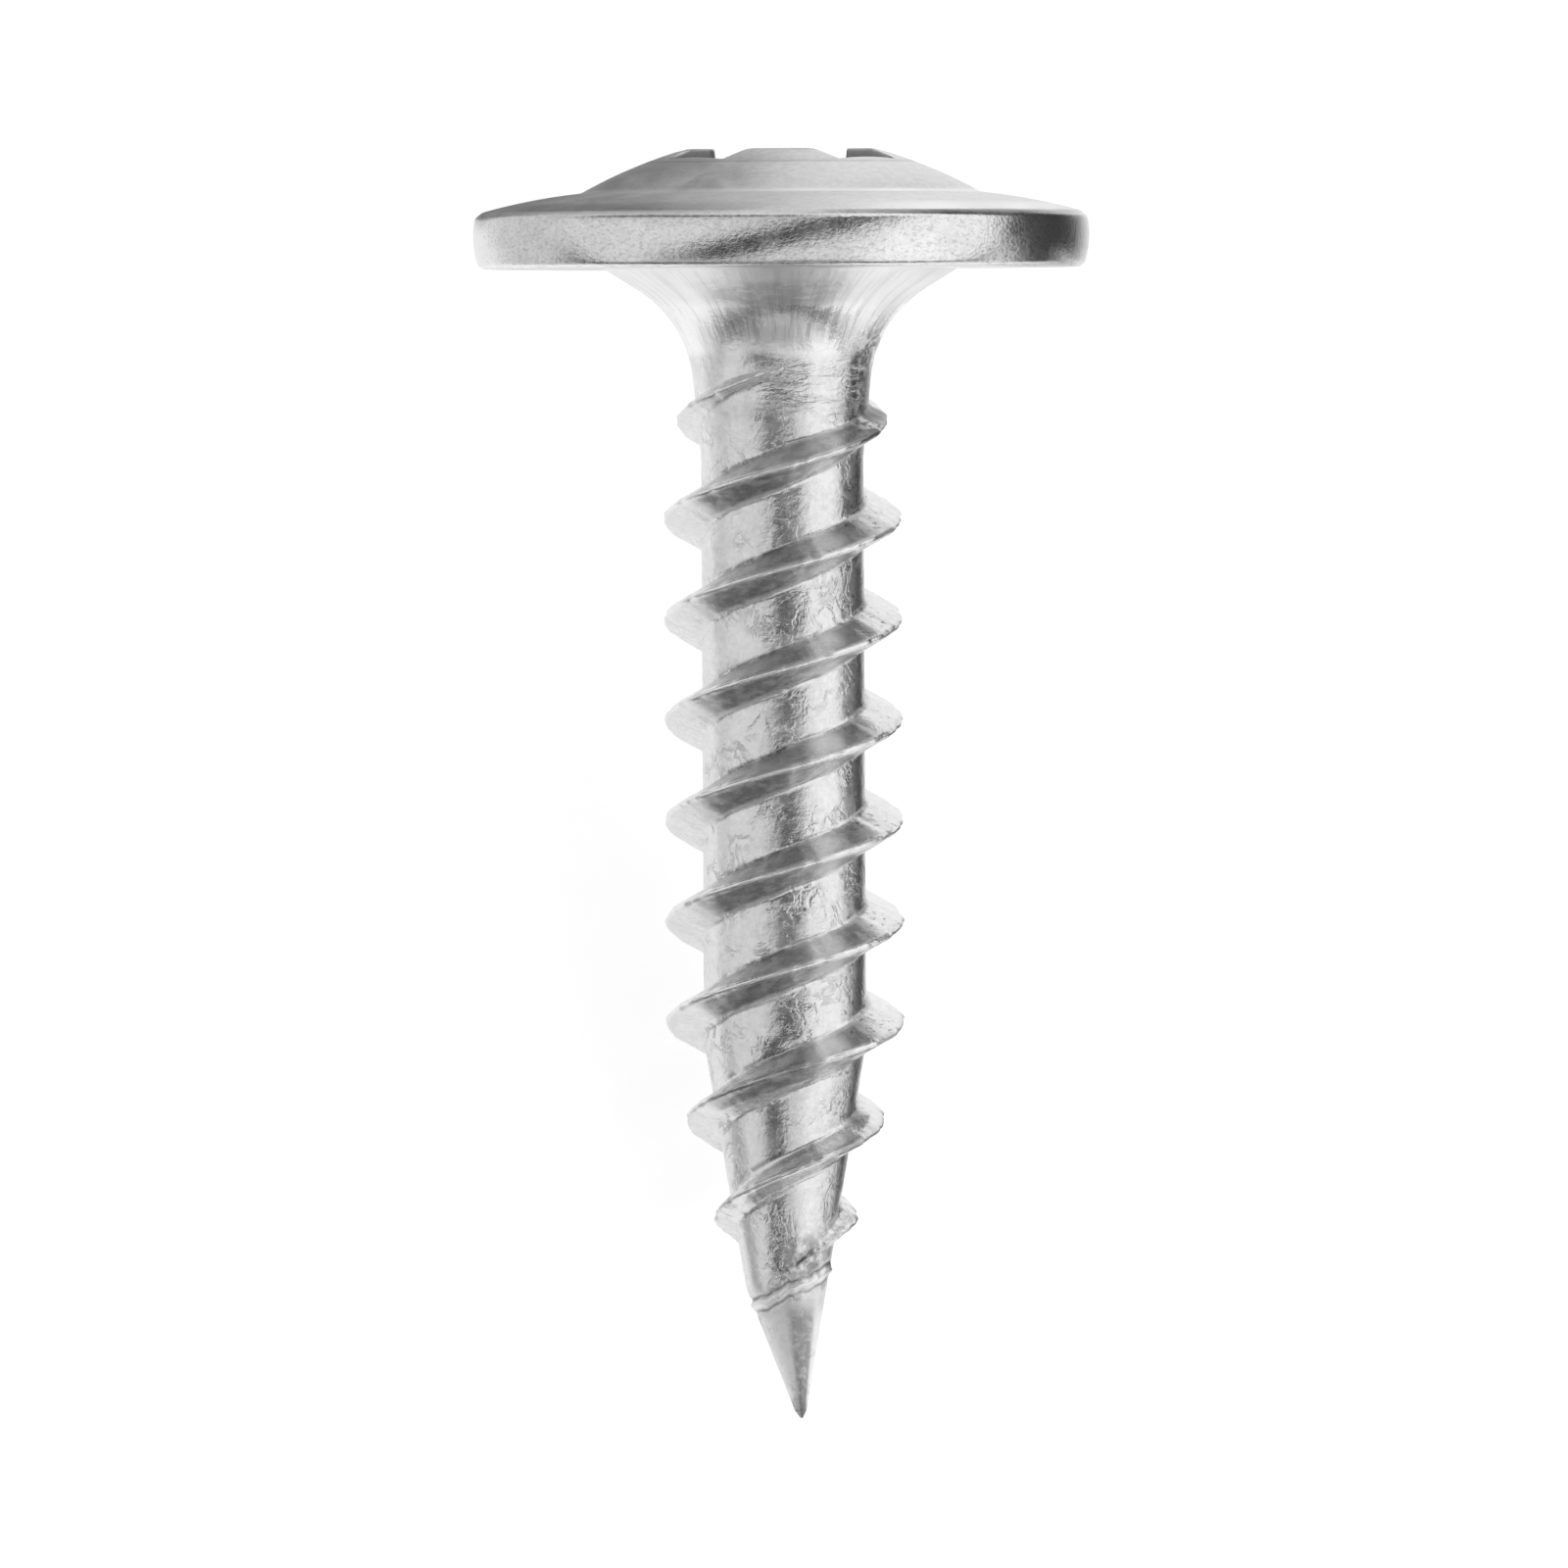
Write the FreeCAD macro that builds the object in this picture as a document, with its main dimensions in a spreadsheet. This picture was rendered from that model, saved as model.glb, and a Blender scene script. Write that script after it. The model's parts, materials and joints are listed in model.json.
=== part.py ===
import FreeCAD, Part
import Sketcher
import math
import os

# Self-tapping drywall screw with a flat washer flange under a low domed head.
# It is cold forged and thread rolled from one blank of wire, so it is one solid.
# Built upright: the screw's axis is Z, the bearing face is the plane Z = 0, the head is above it
# and the shank hangs below. It is then laid down on its side, the way it comes to rest on a table.

# Driving dimensions, in millimetres and degrees. Heights and depths are measured along the axis
# from the bearing face, heights towards the head's top and depths towards the point. Lengths of
# what tapers at the lower end are measured back from the tip.
SIZES = {
    # head
    "flange_diameter": 10.7,
    "flange_belly_height": 0.56,
    "flange_belly_radius": 1.1,
    "flange_rim_height": 0.88,
    "flange_edge_chamfer": 0.06,
    "flange_top_diameter": 10.38,
    "flange_top_height": 0.985,
    "flange_top_radius": 10.0,
    "dome_diameter": 6.94,
    "dome_base_height": 1.31,
    "dome_radius": 8.4,
    "crown_diameter": 3.3,
    "head_height": 2.07,
    # cross recess, size 2
    "recess_span": 4.4,
    "recess_wing_width": 1.4,
    "recess_core_diameter": 2.3,
    "recess_depth": 2.1,
    "recess_floor_span": 2.29,
    "recess_floor_wing_width": 1.26,
    "recess_floor_core_diameter": 1.9,
    "recess_cone_depth": 0.35,
    # flare under the head, and the neck that leads from it to the core
    "flare_diameter": 6.17,
    "flare_blend_share": 0.6,
    "neck_diameter": 3.284,
    "neck_depth": 0.9,
    "neck_end_depth": 3.3,
    # shank, which tapers towards the point
    "screw_length": 20.0,
    "core_diameter": 2.82,
    "core_taper_length": 6.6,
    "core_end_diameter": 0.64,
    # pinched point, a cone that leans so that its tip lies to one side
    "point_length": 2.6,
    "point_cone_angle": 31.0,
    "point_lean": 5.8,
    "point_offset": 0.27,
    "tip_diameter": 0.16,
    # rolled thread with two starts, so a full turn climbs by two crests
    "thread_starts": 2,
    "crest_spacing": 1.745,
    "thread_diameter": 4.12,
    "thread_flank_angle": 50.0,
    "thread_crest_width": 0.1,
    "thread_root_overlap": 0.15,
    "thread_first_depth": 2.6,
    # run-out of the crest under the head
    "runout_depth": 1.5,
    "runout_diameter": 2.95,
    "runout_end_depth": 3.4,
    # the crest closes in along the tapered core and fades out at the point
    "crest_taper_length": 6.5,
    "crest_fade_length": 3.5,
    "crest_fade_diameter": 2.5,
    "crest_end_length": 2.2,
}

doc = FreeCAD.newDocument("drywall_screw")
sheet = doc.addObject("Spreadsheet::Sheet", "Sizes")
for row, (alias, value) in enumerate(SIZES.items(), start=1):
    sheet.set(f"A{row}", alias)
    sheet.set(f"B{row}", str(value))
    sheet.setAlias(f"B{row}", alias)
doc.recompute()

# Expressions over the sheet that more than one feature uses
LEAD = "(Sizes.thread_starts * Sizes.crest_spacing)"
CREST = "(Sizes.thread_diameter / 2)"
ROOT = "(Sizes.core_diameter / 2 - Sizes.thread_root_overlap)"
RECESS_FLOOR = "(Sizes.head_height - Sizes.recess_depth)"
RECESS_MOUTH = "(Sizes.head_height + Sizes.recess_depth / 4)"


def half(alias):
    """Expression for the radius that belongs to a diameter in the sheet."""
    return f"(Sizes.{alias} / 2)"


def size(alias):
    """A driving dimension, read back from the sheet."""
    return float(sheet.get(alias))


def value_of(expression):
    """The number that an expression over the sheet gives."""
    return float(sheet.evalExpression(str(expression)))


def origin_feature(body, role):
    """The origin plane or axis of a body that has this role, such as XZ_Plane."""
    return next(feature for feature in body.Origin.OriginFeatures if feature.Role == role)


def new_sketch(body, name, role, lift=None, turn=None):
    """An empty sketch on an origin plane of the body.

    lift moves it along its normal, and turn is an axis in the sketch and the angle about it.
    """
    sketch = body.newObject("Sketcher::SketchObject", name)
    sketch.AttachmentSupport = [(origin_feature(body, role), "")]
    sketch.MapMode = "FlatFace"
    if turn:
        axis, angle = turn
        turned = FreeCAD.Rotation(FreeCAD.Vector(*axis), value_of(angle))
        sketch.AttachmentOffset = FreeCAD.Placement(FreeCAD.Vector(), turned)
        sketch.setExpression("AttachmentOffset.Rotation.Angle", angle)
    if lift:
        sketch.setExpression("AttachmentOffset.Base.z", lift)
    return sketch


def pin_point(sketch, curve, vertex, x, y):
    """Fixes one vertex of a sketch curve at x, y, each an expression over the sheet."""
    for kind, place in (("DistanceX", x), ("DistanceY", y)):
        constraint = Sketcher.Constraint(kind, -1, 1, curve, vertex, value_of(place))
        index = sketch.addConstraint(constraint)
        sketch.setExpression(f"Constraints[{index}]", str(place))


def arc_between(start, end, radius):
    """Counterclockwise arc of this radius from start to end, less than half a turn."""
    middle = (start + end) * 0.5
    chord = end - start
    sagitta = radius - math.sqrt(radius ** 2 - (chord.Length / 2) ** 2)
    outward = FreeCAD.Vector(chord.y, -chord.x, 0).normalize()
    return Part.Arc(start, middle + outward * sagitta, end)


def draw_outline(sketch, corners):
    """Draws a closed outline through the corners, each an x and a y expression.

    A third item gives the radius of an arc that leads on to the next corner, and a fourth says
    which way the arc turns, left or right. Other corners are joined by straight lines.
    """
    points = [FreeCAD.Vector(value_of(corner[0]), value_of(corner[1]), 0) for corner in corners]
    ends = []
    for number, corner in enumerate(corners):
        start = points[number]
        end = points[(number + 1) % len(points)]
        backwards = corner[3:] == ("right",)
        if len(corner) == 2:
            curve = sketch.addGeometry(Part.LineSegment(start, end))
        elif backwards:
            curve = sketch.addGeometry(arc_between(end, start, value_of(corner[2])))
        else:
            curve = sketch.addGeometry(arc_between(start, end, value_of(corner[2])))
        first, last = (2, 1) if backwards else (1, 2)
        pin_point(sketch, curve, first, corner[0], corner[1])
        if len(corner) > 2:
            bend = Sketcher.Constraint("Radius", curve, value_of(corner[2]))
            index = sketch.addConstraint(bend)
            sketch.setExpression(f"Constraints[{index}]", str(corner[2]))
        ends.append((curve, first, last))
    for number, (curve, first, last) in enumerate(ends):
        following, beginning, _ = ends[(number + 1) % len(ends)]
        sketch.addConstraint(Sketcher.Constraint("Coincident", curve, last, following, beginning))


def turned_feature(body, kind, name, sketch):
    """A Revolution or Groove of the sketch, a full turn about the screw's axis."""
    feature = body.newObject(f"PartDesign::{kind}", name)
    feature.Profile = sketch
    feature.ReferenceAxis = (sketch, ["V_Axis"])
    feature.Angle = 360
    return feature


def add_core(body):
    """The core of the shank, a cylinder that starts inside the head and then tapers."""
    sketch = new_sketch(body, "CoreProfile", "XZ_Plane")
    draw_outline(sketch, [
        (0, "Sizes.head_height"),
        (0, "-Sizes.screw_length"),
        (half("core_end_diameter"), "-Sizes.screw_length"),
        (half("core_diameter"), "Sizes.core_taper_length - Sizes.screw_length"),
        (half("core_diameter"), "Sizes.head_height"),
    ])
    turned_feature(body, "Revolution", "Core", sketch)
    doc.recompute()


def mix(start, end, share):
    """Expression part of the way from one expression to another, share from 0 to 1."""
    return f"({start} + ({end} - {start}) * {share})"


def above_tip(length):
    """Expression for the depth that lies this length, an alias of the sheet, above the tip."""
    return f"(Sizes.screw_length - Sizes.{length})"


def taper_radius(length):
    """Expression for the radius of the tapered core at this length, an alias, above the tip."""
    return mix(half("core_end_diameter"), half("core_diameter"),
               f"Sizes.{length} / Sizes.core_taper_length")


def thread_section(body, name, depth, crest, root):
    """Cross section of one thread ridge in the half plane that its crest crosses at this depth.

    crest and root are the radii of its top and of its foot, which is sunk into the core.
    """
    angle = f"(360 * (Sizes.thread_first_depth - {depth}) / {LEAD})"
    sketch = new_sketch(body, name, "XZ_Plane", turn=((0, 1, 0), angle))
    crest_half = "Sizes.thread_crest_width / 2"
    foot_half = f"({crest_half} + ({crest} - {root}) * tan(Sizes.thread_flank_angle / 2))"
    draw_outline(sketch, [
        (root, f"-{depth} - {foot_half}"),
        (crest, f"-{depth} - {crest_half}"),
        (crest, f"-{depth} + {crest_half}"),
        (root, f"-{depth} + {foot_half}"),
    ])
    return sketch


def add_full_ridge(body):
    """The ridge at full height, one start, wound from the run-out down to the taper."""
    section = thread_section(body, "RidgeSection", "Sizes.runout_end_depth", CREST, ROOT)
    ridge = body.newObject("PartDesign::AdditiveHelix", "Ridge")
    ridge.Profile = section
    ridge.ReferenceAxis = (section, ["V_Axis"])
    ridge.Mode = 0
    ridge.LeftHanded = False
    ridge.Reversed = True
    ridge.setExpression("Pitch", LEAD)
    ridge.setExpression("Height", f"{above_tip('crest_taper_length')} - Sizes.runout_end_depth")
    doc.recompute()
    return ridge


def add_ridge_end(body, name, stations):
    """One end of the ridge, lofted through sections from each station on to the next.

    A station is the depth, the crest radius, the root radius and the number of steps up to it.
    """
    sections = []
    for here, there in zip(stations, stations[1:]):
        steps = there[3]
        for step in range(1 if sections else 0, steps + 1):
            depth, crest, root = (mix(here[k], there[k], f"{step} / {steps}") for k in range(3))
            label = f"{name}Section{len(sections)}"
            sections.append(thread_section(body, label, depth, crest, root))
    loft = body.newObject("PartDesign::AdditiveLoft", name)
    loft.Profile = sections[0]
    loft.Sections = sections[1:]
    doc.recompute()
    return loft


def add_thread(body):
    """The ridge of one start with both of its ends, and the same again for each other start."""
    full = add_full_ridge(body)
    runout = add_ridge_end(body, "RunOut", [
        ("Sizes.runout_end_depth", CREST, ROOT, 0),
        ("Sizes.runout_depth", half("runout_diameter"), f"({ROOT} - 2 * Sizes.thread_root_overlap)", 6),
    ])
    taper = add_ridge_end(body, "Taper", [
        (above_tip("crest_taper_length"), CREST, ROOT, 0),
        (above_tip("crest_fade_length"), half("crest_fade_diameter"),
         f"({taper_radius('crest_fade_length')} - Sizes.thread_root_overlap)", 10),
        (above_tip("crest_end_length"),
         f"({taper_radius('crest_end_length')} - Sizes.thread_root_overlap / 2)",
         f"({taper_radius('crest_end_length')} - Sizes.thread_root_overlap)", 5),
    ])
    starts = body.newObject("PartDesign::PolarPattern", "ThreadStarts")
    starts.Originals = [full, runout, taper]
    starts.Axis = (origin_feature(body, "Z_Axis"), [""])
    starts.Angle = 360
    starts.setExpression("Occurrences", "Sizes.thread_starts")
    body.Tip = starts
    doc.recompute()


def pinch_point(body):
    """Cuts the end of the shank to a leaning cone with a slightly blunt tip."""
    sketch = new_sketch(body, "PointCut", "XZ_Plane", turn=((0, 0, 1), "Sizes.point_lean"))
    sketch.setExpression("AttachmentOffset.Base.x", "Sizes.point_offset")
    sketch.setExpression("AttachmentOffset.Base.y", "-Sizes.screw_length")
    wide = f"({half('tip_diameter')} + Sizes.point_length * tan(Sizes.point_cone_angle / 2))"
    clear = half("thread_diameter")
    draw_outline(sketch, [
        (0, 0),
        (half("tip_diameter"), 0),
        (wide, "Sizes.point_length"),
        (f"{wide} + {clear}", "Sizes.point_length"),
        (f"{wide} + {clear}", f"-{clear}"),
        (0, f"-{clear}"),
    ])
    turned_feature(body, "Groove", "PinchedPoint", sketch)
    doc.recompute()


def rim_radius(height):
    """Expression for the radius of the barrelled flange rim at this height."""
    belly = "Sizes.flange_belly_radius"
    rise = f"({height} - Sizes.flange_belly_height)"
    return f"({half('flange_diameter')} - {belly} + sqrt({belly} ^ 2 - {rise} ^ 2))"


def flare_corners():
    """The flare under the flange, blended by a tangent arc into the neck above the thread."""
    flare_run = f"({half('flare_diameter')} - {half('neck_diameter')})"
    neck_run = f"({half('neck_diameter')} - {half('core_diameter')})"
    neck_drop = "(Sizes.neck_end_depth - Sizes.neck_depth)"
    tangent = f"(Sizes.flare_blend_share * hypot({flare_run}; Sizes.neck_depth))"
    neck_share = f"({tangent} / hypot({neck_run}; {neck_drop}))"
    bend = f"(atan({flare_run} / Sizes.neck_depth) - atan({neck_run} / {neck_drop}))"
    return [
        (half("flare_diameter"), 0),
        (f"{half('neck_diameter')} + Sizes.flare_blend_share * {flare_run}",
         "Sizes.neck_depth * (Sizes.flare_blend_share - 1)",
         f"{tangent} / tan({bend} / 2)", "left"),
        (f"{half('neck_diameter')} - {neck_share} * {neck_run}",
         f"-Sizes.neck_depth - {neck_share} * {neck_drop}"),
        (half("core_diameter"), "-Sizes.neck_end_depth"),
        (0, "-Sizes.neck_end_depth"),
    ]


def add_head(body):
    """Domed head, washer flange with a barrelled rim, and the flare and neck under it."""
    edge = "Sizes.flange_edge_chamfer"
    sketch = new_sketch(body, "HeadProfile", "XZ_Plane")
    draw_outline(sketch, [
        (0, "Sizes.head_height"),
        (half("crown_diameter"), "Sizes.head_height", "Sizes.dome_radius", "right"),
        (half("dome_diameter"), "Sizes.dome_base_height", "Sizes.flange_top_radius", "right"),
        (half("flange_top_diameter"), "Sizes.flange_top_height"),
        (rim_radius("Sizes.flange_rim_height"), "Sizes.flange_rim_height",
         "Sizes.flange_belly_radius", "right"),
        (rim_radius(edge), edge),
        (f"{rim_radius('0')} - {edge}", 0),
    ] + flare_corners())
    turned_feature(body, "Revolution", "Head", sketch)
    doc.recompute()


def cross_corners(span, width):
    """Outline of a cross with four equal wings."""
    reach = f"({span} / 2)"
    side = f"({width} / 2)"
    wing = [(reach, f"(-1 * {side})"), (reach, side), (side, side)]
    corners = []
    for _ in range(4):
        corners += wing
        wing = [(f"(-1 * {y})", x) for x, y in wing]
    return corners


def add_recess(body):
    """Cross recess: tapered wings, blunt inner corners and a shallow cone under its floor.

    The cut starts a quarter of its depth above the crown, on the same tapers.
    """
    top_span = mix("Sizes.recess_span", "Sizes.recess_floor_span", "(-1 / 4)")
    top_width = mix("Sizes.recess_wing_width", "Sizes.recess_floor_wing_width", "(-1 / 4)")
    top_core = mix(half("recess_core_diameter"), half("recess_floor_core_diameter"), "(-1 / 4)")
    turn = ((0, 0, 1), "45")
    mouth = new_sketch(body, "RecessMouth", "XY_Plane", RECESS_MOUTH, turn)
    draw_outline(mouth, cross_corners(top_span, top_width))
    floor = new_sketch(body, "RecessFloor", "XY_Plane", RECESS_FLOOR, turn)
    draw_outline(floor, cross_corners("Sizes.recess_floor_span", "Sizes.recess_floor_wing_width"))
    wings = body.newObject("PartDesign::SubtractiveLoft", "RecessWings")
    wings.Profile = mouth
    wings.Sections = [floor]
    doc.recompute()
    core = new_sketch(body, "RecessCoreProfile", "XZ_Plane")
    draw_outline(core, [
        (0, f"{RECESS_FLOOR} - Sizes.recess_cone_depth"),
        (half("recess_floor_core_diameter"), RECESS_FLOOR),
        (top_core, RECESS_MOUTH),
        (0, RECESS_MOUTH),
    ])
    turned_feature(body, "Groove", "RecessCore", core)
    doc.recompute()


def crest_radius(depth):
    """Radius of the thread's crest at this depth, between its two ends."""
    full = size("thread_diameter") / 2
    runout = size("runout_diameter") / 2
    fade = size("crest_fade_diameter") / 2
    rise = (full - runout) / (size("runout_end_depth") - size("runout_depth"))
    fall = (full - fade) / (size("crest_taper_length") - size("crest_fade_length"))
    taper_depth = size("screw_length") - size("crest_taper_length")
    return min(full, runout + rise * (depth - size("runout_depth")),
               full - fall * (depth - taper_depth))


def resting_lean():
    """Angle in degrees between the axis and the table when rim and thread both touch it.

    The screw lies with its +Y side down, so only the crests near that side can touch.
    """
    lead = size("thread_starts") * size("crest_spacing")
    rim = [(size("flange_rim_height") * k / 40) for k in range(41)]
    contacts = [(height, value_of(rim_radius(height))) for height in rim]
    crests = []
    for step in range(-30, 31):
        lead_in = size("thread_first_depth") - lead * (90 + step) / 360
        fade_depth = size("screw_length") - size("crest_fade_length")
        turns = int((fade_depth - lead_in) / size("crest_spacing"))
        for number in range(1, turns + 1):
            depth = lead_in + number * size("crest_spacing")
            crests.append((-depth, crest_radius(depth) * math.cos(math.radians(step))))

    def lowest(points, lean):
        return min(z * math.sin(lean) - reach * math.cos(lean) for z, reach in points)

    low, high = 0.0, math.radians(60)
    for _ in range(60):
        lean = (low + high) / 2
        if lowest(contacts, lean) < lowest(crests, lean):
            low = lean
        else:
            high = lean
    return math.degrees(lean)


def lay_down(body):
    """Lays the screw on its side, centred on the origin with its lowest points on the table."""
    turn = FreeCAD.Rotation(FreeCAD.Vector(1, 0, 0), resting_lean() - 90)
    body.Placement = FreeCAD.Placement(FreeCAD.Vector(), turn)
    doc.recompute()
    box = body.Shape.optimalBoundingBox(False, False)
    shift = FreeCAD.Vector(-box.Center.x, -box.Center.y, -box.ZMin)
    body.Placement = FreeCAD.Placement(shift, turn)
    doc.recompute()


def check_part(body):
    """Stops the build if any feature failed or the screw isn't one sound solid."""
    failed = [thing.Name for thing in doc.Objects if {"Invalid", "Error"} & set(thing.State)]
    if failed:
        raise RuntimeError(f"features failed: {failed}")
    if body.Shape.isNull() or not body.Shape.isValid() or len(body.Shape.Solids) != 1:
        raise RuntimeError(f"{body.Label} is not one sound solid")


body = doc.addObject("PartDesign::Body", "Screw")
body.Label = "drywall_screw"
add_core(body)
add_thread(body)
pinch_point(body)
add_head(body)
add_recess(body)
lay_down(body)
check_part(body)
os.makedirs("parts", exist_ok=True)
body.Shape.exportStep(f"parts/{body.Label}.step")
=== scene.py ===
import json
import math

import bpy
import numpy as np
from mathutils import Matrix, Vector


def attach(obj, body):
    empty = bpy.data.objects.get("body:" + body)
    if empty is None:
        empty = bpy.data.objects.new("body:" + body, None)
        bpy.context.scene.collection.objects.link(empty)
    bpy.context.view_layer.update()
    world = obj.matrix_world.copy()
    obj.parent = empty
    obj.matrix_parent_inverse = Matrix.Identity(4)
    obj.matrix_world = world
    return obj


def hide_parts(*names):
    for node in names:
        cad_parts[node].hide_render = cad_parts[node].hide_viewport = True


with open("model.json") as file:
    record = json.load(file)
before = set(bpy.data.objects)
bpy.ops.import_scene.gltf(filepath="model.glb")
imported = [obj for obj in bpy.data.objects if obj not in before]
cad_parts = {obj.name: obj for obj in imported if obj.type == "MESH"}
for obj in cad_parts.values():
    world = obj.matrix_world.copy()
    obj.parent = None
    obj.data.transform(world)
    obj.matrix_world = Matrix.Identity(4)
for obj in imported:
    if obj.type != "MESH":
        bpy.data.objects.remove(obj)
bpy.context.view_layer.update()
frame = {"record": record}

# Sizes of the screw in millimetres: heights above the flange's flat underside, depths below it
MM = 0.001
FLANGE_RADIUS = 5.35
BELLY_HEIGHT = 0.56
BELLY_RADIUS = 1.6
RIM_HEIGHT = 0.88
FOOT_CHAMFER = 0.06
SHOULDER = (5.19, 0.985)
FLANGE_TOP_RADIUS = 10.0
DOME_FOOT = (3.47, 1.31)
DOME_RADIUS = 8.4
CROWN = (1.65, 2.07)
FLARE_RADIUS = 3.085
FLARE_BLEND = 0.6
NECK_RADIUS = 1.642
NECK_DEPTH = 0.9
NECK_END_DEPTH = 3.3
CORE_RADIUS = 1.41
TAPER_DEPTH = 13.4
LENGTH = 20.0
TIP_DEPTH = 19.95
TAPER_END_RADIUS = 0.32

# The recess, at the crown and at its floor
RECESS_DEPTH = 2.1
WING_REACH = (2.2, 1.145)
WING_HALF_WIDTH = (0.7, 0.63)
RECESS_CORE = (1.15, 0.95)
RECESS_CONE_DEPTH = 0.35
WING_TURN = math.radians(45.0)

# The thread: two starts, so one turn climbs two crest spacings
CREST_SPACING = 1.745
STARTS = 2
FIRST_CREST_DEPTH = 2.6
CREST_HALF_WIDTH = 0.05
FLANK_SLOPE = 1.0 / math.tan(math.radians(25.0))
CREST_DEPTHS = (1.5, 3.4, 13.5, 16.5, 16.9, 17.3)
CREST_RADII = (1.475, 2.06, 2.06, 1.25, 0.92, 0.74)
ROOT_FILLET = 0.1
CREST_ROUNDING = 0.05

# The pinched point, a cone that leans
POINT_OFFSET = 0.255
POINT_LEAN = math.radians(5.8)
POINT_HALF_ANGLE = math.radians(15.5)
TIP_RADIUS = 0.055
TIP_ROUNDING = 0.14
PINCH_DEPTH = 17.4
PINCH_FOLD_DEPTH = 17.76
PINCH_FOLD_SLOPE = 0.46
PINCH_FOLD_WAVES = ((9.0, 0.025), (27.0, 0.012))
PINCH_FOLD_WAVE_START = 1.0
LIP_HEIGHT = 0.045
LIP_WIDTH = 0.07
CREASE_DEPTH = 0.04
CREASE_WIDTH = 0.04
CREASE_ASIDE = 0.12

# Wear along the crests: how many radians of each wave to a millimetre, and its height
WEAR_WAVES = ((23.0, 0.008), (41.0, 0.008), (67.0, 0.007), (97.0, 0.005))

# The net of the surface
COLUMNS = 160
NECK_JOIN_DEPTH = 1.2
EDGE_SOFTNESS = 0.03
RECESS_SOFTNESS = 0.08
PINCH_SOFTNESS = 0.03
LINE_STEP = 0.004
RING_TURN = 0.11
RING_SPACING = 0.16
RECESS_SURROUND_RADIUS = 2.75

# The zinc's lightness where it is dull, bright, and rubbed or given a painted highlight
DULL_ZINC = 0.7
BRIGHT_ZINC = 0.9
WEAR_AND_HIGHLIGHT_ZINC = 0.97

# Heights of the finish's bumps in millimetres
FINE_BUMP = 0.0022
FINE_BUMP_ON_DOME = 0.0007
RIM_BUMP = 0.0055
PEBBLE_BUMP = 0.005
POINT_BUMP = 0.02
LUMP_BUMP = 0.0125
FOLD_BUMP = -0.008
STRIAE_BUMP = 0.007
TURNED_BUMP = 0.0016
BURR_BUMP = 0.04
HEAD_BUMP_SHARE = 0.4

# Roughness of the plating, and what each zone adds to it
SMOOTH_ZINC = 0.22
CLOUDED_ZINC = 0.32
DOME_ROUGHNESS = 0.1
RIM_ROUGHNESS = -0.07
POINT_ROUGHNESS = 0.34
FLARE_ROUGHNESS = 0.14

# The table, the black cards painted on it for the metal's reflections alone, and the fins
TABLE_PAINT = 0.9
TABLE_GLOW = 0.58
GLOW_FOR_METAL = 0.88
CARD_PAINT = 0.1
TABLE_REACH = 2000.0
FIN_HEIGHT = 0.55
FIN_SPACING = 0.5
FIN_DEPTHS = (1.5, 17.5)
FIN_ACROSS = (2.9, 12.0)

# The studio: its level, what the panel adds, and how far the streak slants
STUDIO_LEVEL = 0.784
PANEL_LEVEL = 0.28
STREAK_SLANT = 1.3

# The camera, which leans a little as the screw in the photograph does
CAMERA_ROLL = math.radians(0.3)
CAMERA_DISTANCE = 1.2
CAMERA_VIEW_WIDTH = 27.2
CAMERA_MIDDLE_DEPTH = 8.95

DEGREES = 180.0 / math.pi


def screw_place():
    """The matrix that puts the screw in the frame: its x runs across, its z along the axis to the head."""
    mounts = {mount["name"]: mount for mount in frame["record"]["mounts"]}
    face = mounts["bearing_face"]
    up = -Vector(face["axis"]).normalized()
    across = Vector((1.0, 0.0, 0.0))
    away = up.cross(across)
    origin = Vector(face["pos_m"])
    origin.x = 0.0
    place = Matrix((across, away, up)).transposed().to_4x4()
    place.translation = origin
    return place


PLACE = screw_place()


def smooth_max(a, b, width):
    """The greater of two values, with the corner where they cross filled."""
    closeness = np.maximum(width - np.abs(a - b), 0.0) / width
    return np.maximum(a, b) + closeness ** 2 * width / 4.0


def smooth_min(a, b, width):
    """The lesser of two values, with the corner where they cross rounded."""
    return -smooth_max(-a, -b, width)


def smooth_step(value, low, high):
    """0 below low, 1 above high and a soft rise between."""
    share = np.clip((value - low) / (high - low), 0.0, 1.0)
    return share * share * (3.0 - 2.0 * share)


def arc_between(start, end, radius, steps):
    """Points of the arc that bulges to the left on the way from start to end."""
    start = np.array(start)
    end = np.array(end)
    chord = end - start
    half = np.linalg.norm(chord) / 2.0
    left = np.array((-chord[1], chord[0])) / (2.0 * half)
    centre = (start + end) / 2.0 - left * math.sqrt(radius ** 2 - half ** 2)
    first = math.atan2(*(start - centre)[::-1])
    last = math.atan2(*(end - centre)[::-1])
    angles = np.linspace(first, last, steps)
    return [tuple(centre + radius * np.array((math.cos(a), math.sin(a)))) for a in angles]


def rim_radius(height):
    """Radius of the barrelled rim."""
    return FLANGE_RADIUS - BELLY_RADIUS + math.sqrt(BELLY_RADIUS ** 2 - (height - BELLY_HEIGHT) ** 2)


def neck_radius(depth):
    """Radius of the neck, which narrows evenly to the core."""
    share = (depth - NECK_DEPTH) / (NECK_END_DEPTH - NECK_DEPTH)
    return NECK_RADIUS + (CORE_RADIUS - NECK_RADIUS) * share


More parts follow.
